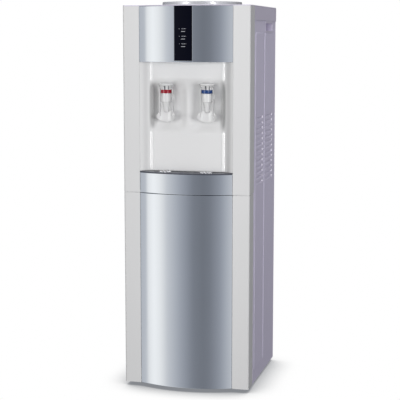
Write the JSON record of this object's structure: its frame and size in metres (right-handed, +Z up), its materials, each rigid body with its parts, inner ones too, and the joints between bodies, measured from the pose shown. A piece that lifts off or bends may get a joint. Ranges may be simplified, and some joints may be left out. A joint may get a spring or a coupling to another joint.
{
  "type": "floor-standing water cooler",
  "caption": "Floor-standing hot and cold water cooler with push taps, drip tray, bottle collar and a storage cabinet behind a bowed silver door.",
  "frame": {"origin": "on the floor, under the middle of the whole outline", "axes": "+X to the right of someone facing the cooler, -Y out of its front, +Z up"},
  "size_m": [0.32, 0.355, 0.967],
  "materials": {
    "white_plastic": "satin moulded white",
    "silver_plastic": "metallic silver coating",
    "collar_silver": "bright silver coating",
    "strip_black": "glossy dark window",
    "grey_plastic": "satin moulded grey",
    "lamp_lens": "clear lens",
    "side_paint": "fine powder coat",
    "galvanised_steel": "bright zinc",
    "stainless_steel": "brushed",
    "aluminium": "machined",
    "hot_red": "moulded red",
    "cold_blue": "moulded blue",
    "grid_grey": "moulded dark grey",
    "black_plastic": "moulded black",
    "foam": "expanded foam",
    "ceramic": "ceramic plate",
    "silicone": "translucent hose",
    "circuit_board": "coated board"
  },
  "bodies": {
    "cabinet": {"upper_front_shell": "white_plastic", "niche_panel": "white_plastic", "hot_tap_body": "white_plastic", "hot_tap_cap": "white_plastic", "cold_tap_body": "white_plastic", "cold_tap_cap": "white_plastic", "tap_nuts": "white_plastic", "upper_fascia": "silver_plastic", "top_cover": "grey_plastic", "hand_grips": "grey_plastic", "display_window": "strip_black", "indicator_lights": "lamp_lens", "left_side_panel": "side_paint", "right_side_panel": "side_paint", "rear_panel": "side_paint", "base_pan": "galvanised_steel", "mid_shelf": "galvanised_steel", "tank_bracket": "galvanised_steel", "upper_hinge_bracket": "galvanised_steel", "lower_hinge_bracket": "galvanised_steel", "rear_screws": "galvanised_steel", "cold_tank": "stainless_steel", "hot_tank": "stainless_steel", "heater_band": "stainless_steel", "hot_thermostats": "stainless_steel", "cold_block": "aluminium", "heat_sink": "aluminium", "power_supply": "aluminium", "hot_tap_ring": "hot_red", "cold_tap_ring": "cold_blue", "feet": "black_plastic", "fan_frame": "black_plastic", "door_catch": "black_plastic", "power_inlet": "black_plastic", "switch_bezel": "black_plastic", "tank_foam": "foam", "peltier_module": "ceramic", "cold_tap_hose": "silicone", "hot_tap_hose": "silicone", "hot_feed_hose": "silicone", "drain_pipe": "silicone", "display_board": "circuit_board", "power_board": "circuit_board"},
    "door": {"door_shell": "white_plastic", "door_panel": "silver_plastic", "door_liner": "white_plastic"},
    "tray": {"drip_tray": "white_plastic", "tray_front": "silver_plastic"},
    "grid": {"drip_grid": "grid_grey"},
    "seat": {"bottle_collar": "collar_silver", "bottle_seat": "white_plastic", "feed_spike": "white_plastic"},
    "hot_lever": {"hot_tap_lever": "white_plastic"},
    "hot_valve": {"hot_tap_plunger": "silicone"},
    "cold_lever": {"cold_tap_lever": "white_plastic"},
    "cold_valve": {"cold_tap_plunger": "silicone"},
    "hot_rocker": {"hot_switch_rocker": "black_plastic"},
    "cold_rocker": {"cold_switch_rocker": "black_plastic"},
    "fan": {"fan_rotor": "black_plastic"},
    "drain_cap": {"drain_cap": "black_plastic"}
  },
  "joints": [
    {"name": "door_swing", "type": "hinge", "parent": "cabinet", "child": "door", "pos_m": [0.148, -0.1285, 0.253], "axis": [0, 0, 1], "range_deg": [0, 110]},
    {"name": "tray_slide", "type": "slide", "parent": "cabinet", "child": "tray", "axis": [0, -1, 0], "range_m": [0, 0.08]},
    {"name": "grid_lift", "type": "slide", "parent": "tray", "child": "grid", "axis": [0, 0, 1], "range_m": [0, 0.06]},
    {"name": "seat_lift", "type": "slide", "parent": "cabinet", "child": "seat", "axis": [0, 0, 1], "range_m": [0, 0.1]},
    {"name": "hot_lever_push", "type": "hinge", "parent": "cabinet", "child": "hot_lever", "pos_m": [-0.0515, -0.1445, 0.75445], "axis": [1, 0, 0], "range_deg": [0, 10], "stiffness_Nm_per_rad": 0.25, "springref_deg": -6.88},
    {"name": "hot_valve_lift", "type": "slide", "parent": "cabinet", "child": "hot_valve", "axis": [0, 0, 1], "range_m": [0, 0.0026]},
    {"name": "cold_lever_push", "type": "hinge", "parent": "cabinet", "child": "cold_lever", "pos_m": [0.0515, -0.1445, 0.75445], "axis": [1, 0, 0], "range_deg": [0, 10], "stiffness_Nm_per_rad": 0.25, "springref_deg": -6.88},
    {"name": "cold_valve_lift", "type": "slide", "parent": "cabinet", "child": "cold_valve", "axis": [0, 0, 1], "range_m": [0, 0.0026]},
    {"name": "hot_switch_rock", "type": "hinge", "parent": "cabinet", "child": "hot_rocker", "pos_m": [0.085, 0.16417, 0.5825], "axis": [1, 0, 0], "range_deg": [-9, 9]},
    {"name": "cold_switch_rock", "type": "hinge", "parent": "cabinet", "child": "cold_rocker", "pos_m": [0.105, 0.16417, 0.5825], "axis": [1, 0, 0], "range_deg": [-9, 9]},
    {"name": "fan_spin", "type": "hinge", "parent": "cabinet", "child": "fan", "pos_m": [0, 0.155, 0.83], "axis": [0, 1, 0], "continuous": true},
    {"name": "drain_cap_turn", "type": "hinge", "parent": "cabinet", "child": "drain_cap", "pos_m": [-0.02, 0.172, 0.5305], "axis": [0, 1, 0], "range_deg": [0, 540]}
  ],
  "couplings": [
    {"joint": "hot_valve_lift", "follows": "hot_lever_push", "m_per_rad": 0.0143},
    {"joint": "cold_valve_lift", "follows": "cold_lever_push", "m_per_rad": 0.0143}
  ]
}
